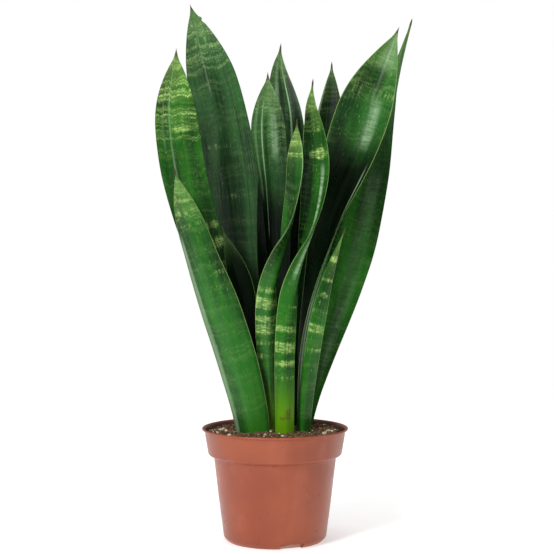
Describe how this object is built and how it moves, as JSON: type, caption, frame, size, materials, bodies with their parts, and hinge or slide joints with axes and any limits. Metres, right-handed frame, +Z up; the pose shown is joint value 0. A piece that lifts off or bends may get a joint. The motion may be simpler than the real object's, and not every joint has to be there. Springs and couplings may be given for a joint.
{
  "type": "potted snake plant",
  "caption": "Snake plant with stiff upright sword-shaped leaves, banded green, standing in potting mix in a round terracotta-coloured plastic nursery pot with a collar band and drain slots.",
  "frame": {"origin": "middle of the flat disc under the pot, on the surface that the pot stands on", "axes": "+Z up along the pot's axis, -Y towards the plant's front, +X to its right"},
  "size_m": [0.2144, 0.13, 0.4484],
  "materials": {
    "pot_plastic": "satin",
    "potting_mix": "matte",
    "leaf": "satin",
    "perlite": "matte"
  },
  "bodies": {
    "root": {"pot": "pot_plastic", "potting_mix": "potting_mix", "leaf_left_outer": "leaf", "leaf_left_front": "leaf", "leaf_left_tallest": "leaf", "leaf_left_short": "leaf", "leaf_middle_left": "leaf", "leaf_middle_back": "leaf", "leaf_middle_front": "leaf", "leaf_front_twisted": "leaf", "leaf_right_back": "leaf", "leaf_right_broad": "leaf", "leaf_right_outer": "leaf", "leaf_right_short": "leaf", "perlite_01": "perlite", "perlite_02": "perlite", "perlite_03": "perlite", "perlite_04": "perlite", "perlite_05": "perlite", "perlite_06": "perlite", "perlite_07": "perlite", "perlite_08": "perlite", "perlite_09": "perlite", "perlite_10": "perlite", "perlite_11": "perlite", "perlite_12": "perlite", "perlite_13": "perlite", "perlite_14": "perlite"}
  },
  "joints": []
}
